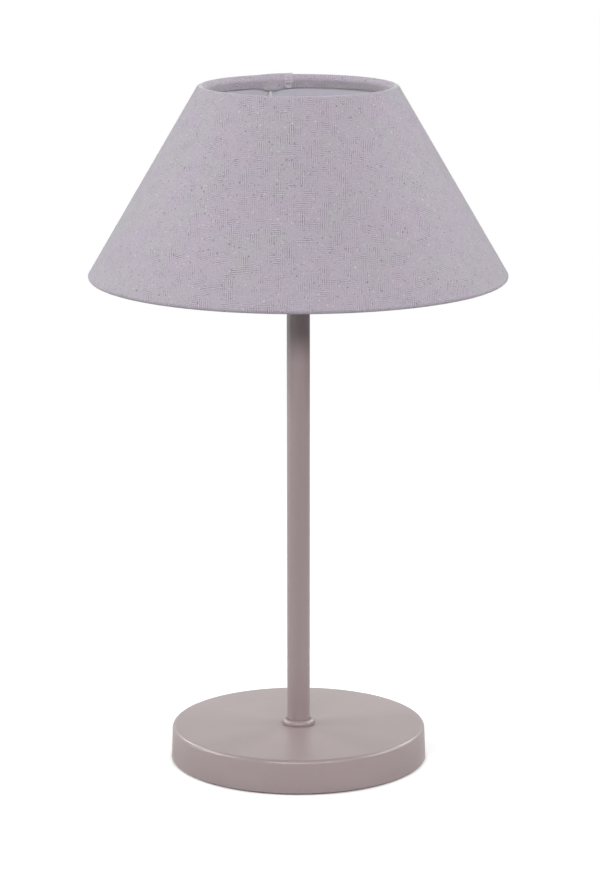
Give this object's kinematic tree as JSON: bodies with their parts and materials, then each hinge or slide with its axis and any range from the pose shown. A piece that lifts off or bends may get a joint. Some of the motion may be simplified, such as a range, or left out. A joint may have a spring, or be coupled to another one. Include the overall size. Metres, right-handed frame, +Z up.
{
  "type": "table lamp",
  "caption": "Table lamp with a weighted round base, a slim straight stem, a small Edison screw lampholder and a cloth cone shade.",
  "frame": {"origin": "centre of the underside of the felt pad, on the table", "axes": "+Z up along the stem, front is -Y, cord outlet and shade seam at the back, +Y"},
  "size_m": [0.2412, 0.2415, 0.3982],
  "materials": {
    "paint": "satin",
    "cast_iron": "rough",
    "zinc": "zinc plated",
    "brass": "bright",
    "nickel": "nickel plated",
    "felt": "felt",
    "black_plastic": "matte",
    "white_plastic": "moulded",
    "insulator": "gloss",
    "board": "satin",
    "opal": "opal",
    "cloth": "linen weave",
    "liner": "translucent film",
    "white_wire": "powder coat"
  },
  "bodies": {
    "stand": {"base_cover": "paint", "base_weight": "cast_iron", "felt_pad": "felt", "cord_bush": "black_plastic", "base_nut": "zinc", "base_washer": "zinc", "stem_collar": "paint", "stem_tube": "paint", "threaded_rod": "zinc", "stem_cap": "paint", "holder_cap": "white_plastic", "grub_screw": "zinc", "holder_skirt": "white_plastic", "terminal_block": "white_plastic", "terminal_screw_left": "brass", "terminal_screw_right": "brass", "screw_shell": "nickel", "centre_contact": "brass", "lower_shade_ring": "white_plastic", "upper_shade_ring": "white_plastic"},
    "shade": {"shade_cloth": "cloth", "shade_liner": "liner", "seam_tape": "liner", "top_wire_ring": "white_wire", "bottom_wire_ring": "white_wire", "fitter_ring": "white_wire", "spider_arm_1": "white_wire", "spider_arm_2": "white_wire", "spider_arm_3": "white_wire"},
    "bulb_tip": {"bulb_contact": "nickel"},
    "bulb": {"bulb_insulator": "insulator", "bulb_shell": "nickel", "bulb_housing": "white_plastic", "led_board": "board", "bulb_globe": "opal"}
  },
  "joints": [
    {"name": "shade_turn", "type": "hinge", "parent": "stand", "child": "shade", "pos_m": [0, 0, 0.3166], "axis": [0, 0, 1], "continuous": true},
    {"name": "bulb_rise", "type": "slide", "parent": "stand", "child": "bulb_tip", "axis": [0, 0, 1], "range_m": [0, 0.0114]},
    {"name": "bulb_turn", "type": "hinge", "parent": "bulb_tip", "child": "bulb", "pos_m": [0, 0, 0.3108], "axis": [0, 0, 1], "range_deg": [0, 1440]}
  ],
  "couplings": [
    {"joint": "bulb_rise", "follows": "bulb_turn", "m_per_rad": 0.00044914}
  ]
}
